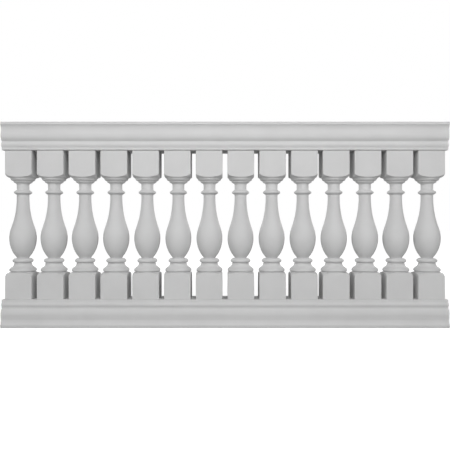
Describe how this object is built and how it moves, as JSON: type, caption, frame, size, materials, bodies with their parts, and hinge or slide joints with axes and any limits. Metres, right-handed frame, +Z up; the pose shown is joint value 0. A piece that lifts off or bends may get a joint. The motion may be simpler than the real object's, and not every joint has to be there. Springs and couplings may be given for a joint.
{
  "type": "fiberglass balustrade",
  "caption": "Straight bay of moulded fiberglass balustrade: turned vase balusters with square blocks between a moulded top rail and a matching bottom rail.",
  "frame": {"origin": "middle of the bottom rail's underside, on the floor", "axes": "+X along the rails, -Y towards the viewer (the picture's side), +Z up"},
  "size_m": [1.9908, 0.167, 0.9144],
  "materials": {
    "gelcoat_frp": "satin gelcoat over glass-reinforced polyester",
    "zinc_steel": "bright zinc plating"
  },
  "bodies": {
    "root": {"bottom_rail": "gelcoat_frp", "top_rail": "gelcoat_frp", "top_rail_soffit": "gelcoat_frp", "baluster_01": "gelcoat_frp", "baluster_02": "gelcoat_frp", "baluster_03": "gelcoat_frp", "baluster_04": "gelcoat_frp", "baluster_05": "gelcoat_frp", "baluster_06": "gelcoat_frp", "baluster_07": "gelcoat_frp", "baluster_08": "gelcoat_frp", "baluster_09": "gelcoat_frp", "baluster_10": "gelcoat_frp", "baluster_11": "gelcoat_frp", "baluster_12": "gelcoat_frp", "baluster_13": "gelcoat_frp", "baluster_14": "gelcoat_frp", "tie_rod_01": "zinc_steel", "tie_rod_02": "zinc_steel", "tie_rod_03": "zinc_steel", "tie_rod_04": "zinc_steel", "tie_rod_05": "zinc_steel", "tie_rod_06": "zinc_steel", "tie_rod_07": "zinc_steel", "tie_rod_08": "zinc_steel", "tie_rod_09": "zinc_steel", "tie_rod_10": "zinc_steel", "tie_rod_11": "zinc_steel", "tie_rod_12": "zinc_steel", "tie_rod_13": "zinc_steel", "tie_rod_14": "zinc_steel"}
  },
  "joints": []
}
